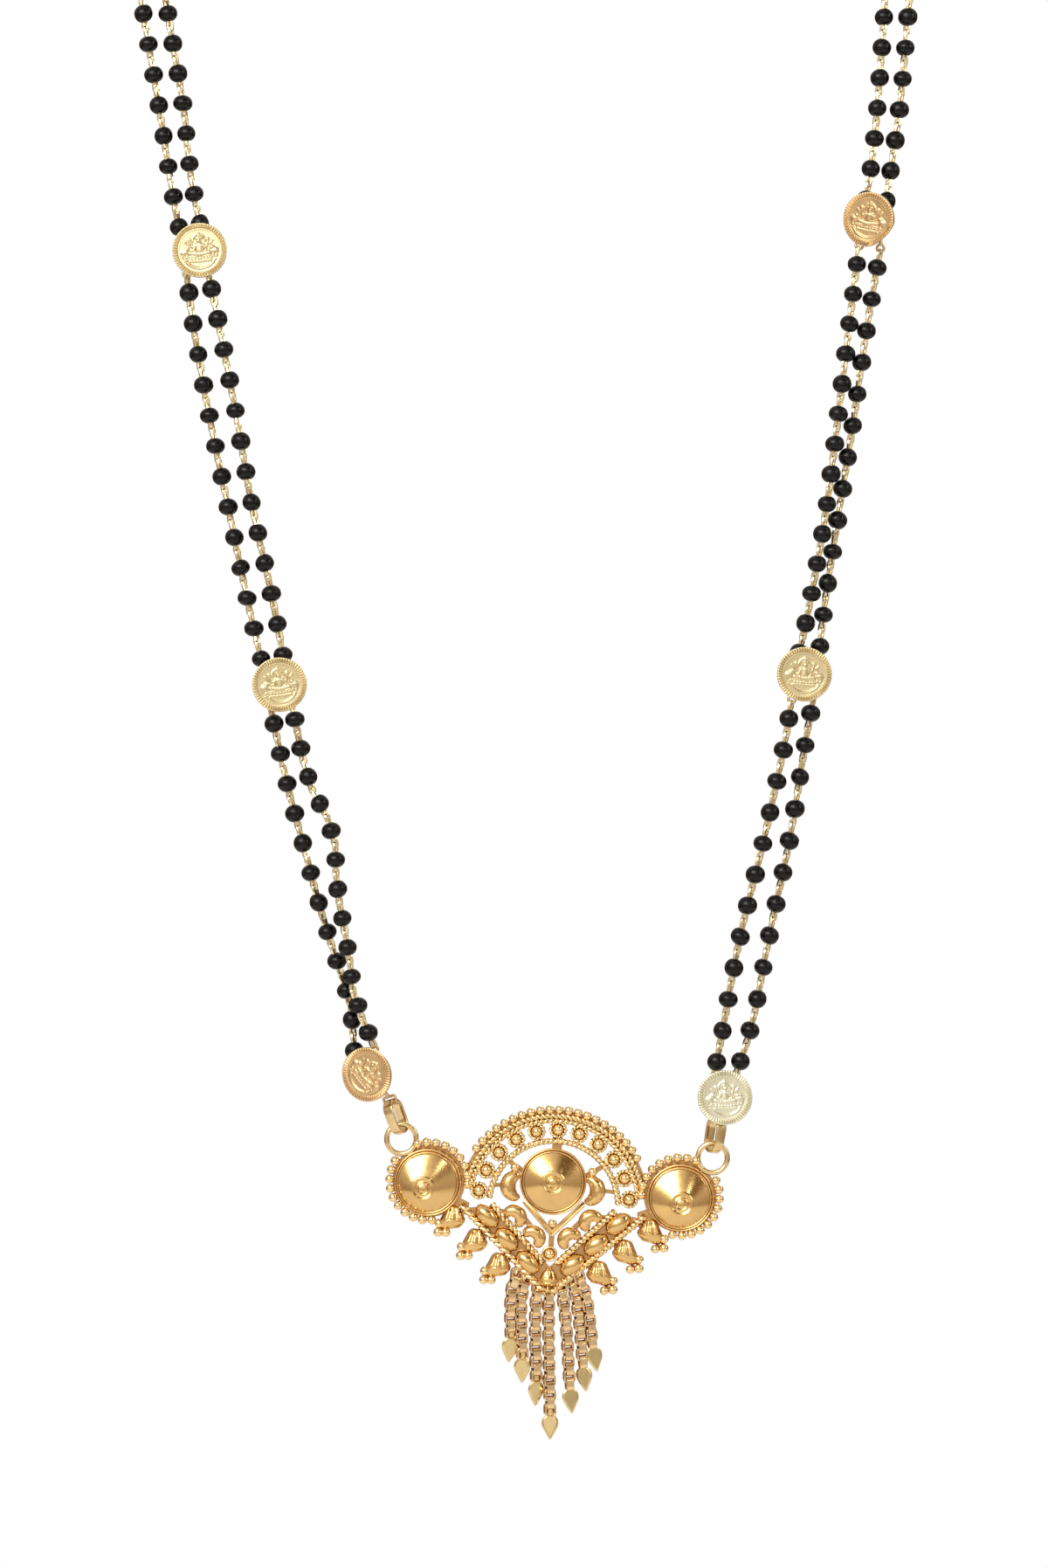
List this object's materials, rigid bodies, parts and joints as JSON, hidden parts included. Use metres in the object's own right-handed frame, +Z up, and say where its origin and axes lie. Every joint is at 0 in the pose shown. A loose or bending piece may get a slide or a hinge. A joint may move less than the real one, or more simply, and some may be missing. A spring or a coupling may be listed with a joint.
{
  "type": "mangalsutra necklace",
  "caption": "Double-strand black bead mangalsutra with stamped coins, a granulated three-lobed filigree pendant and a fringe of box chains with leaf tips.",
  "frame": {"origin": "the nape point, in the middle of the clasp at the top of the loop, where the necklace hangs from the wearer's neck", "axes": "+Z up along the hanging necklace, +X to the right as seen from the front, and the front with the coins' faces and the pendant's domes towards -Y"},
  "size_m": [0.1299, 0.008, 0.2986],
  "materials": {
    "gold": "polished gold plate with darker recesses",
    "coin_gold": "bright pale gold plate, stamped",
    "link_gold": "bright pale gold wire",
    "leaf_gold": "bright gold sheet",
    "chain_gold": "polished gold wire",
    "black_glass": "glossy opaque black glass"
  },
  "bodies": {
    "strands": {"strap_link_left": "gold", "strap_link_right": "gold", "coin_left_1": "coin_gold", "coin_left_2": "coin_gold", "coin_left_3": "coin_gold", "coin_right_1": "coin_gold", "coin_right_2": "coin_gold", "coin_right_3": "coin_gold", "bead_string_left_outer_1": "black_glass", "bead_string_left_outer_2": "black_glass", "bead_string_left_outer_3": "black_glass", "bead_string_left_inner_1": "black_glass", "bead_string_left_inner_2": "black_glass", "bead_string_left_inner_3": "black_glass", "bead_string_right_outer_1": "black_glass", "bead_string_right_outer_2": "black_glass", "bead_string_right_outer_3": "black_glass", "bead_string_right_inner_1": "black_glass", "bead_string_right_inner_2": "black_glass", "bead_string_right_inner_3": "black_glass", "link_chain_left_outer_1": "link_gold", "link_chain_left_outer_2": "link_gold", "link_chain_left_outer_3": "link_gold", "link_chain_left_inner_1": "link_gold", "link_chain_left_inner_2": "link_gold", "link_chain_left_inner_3": "link_gold", "link_chain_right_outer_1": "link_gold", "link_chain_right_outer_2": "link_gold", "link_chain_right_outer_3": "link_gold", "link_chain_right_inner_1": "link_gold", "link_chain_right_inner_2": "link_gold", "link_chain_right_inner_3": "link_gold", "clasp": "gold"},
    "pendant_drop": {"pendant": "gold", "fringe_chain_1": "chain_gold", "fringe_chain_2": "chain_gold", "fringe_chain_3": "chain_gold", "fringe_chain_4": "chain_gold", "fringe_chain_5": "chain_gold", "fringe_chain_6": "chain_gold", "fringe_chain_7": "chain_gold", "fringe_leaf_1": "leaf_gold", "fringe_leaf_2": "leaf_gold", "fringe_leaf_3": "leaf_gold", "fringe_leaf_4": "leaf_gold", "fringe_leaf_5": "leaf_gold", "fringe_leaf_6": "leaf_gold", "fringe_leaf_7": "leaf_gold"}
  },
  "joints": [
    {"name": "pendant_swing", "type": "hinge", "parent": "strands", "child": "pendant_drop", "pos_m": [0.00486, 0, -0.2474], "axis": [0.9982, 0, -0.0598], "range_deg": [-30, 30]}
  ]
}
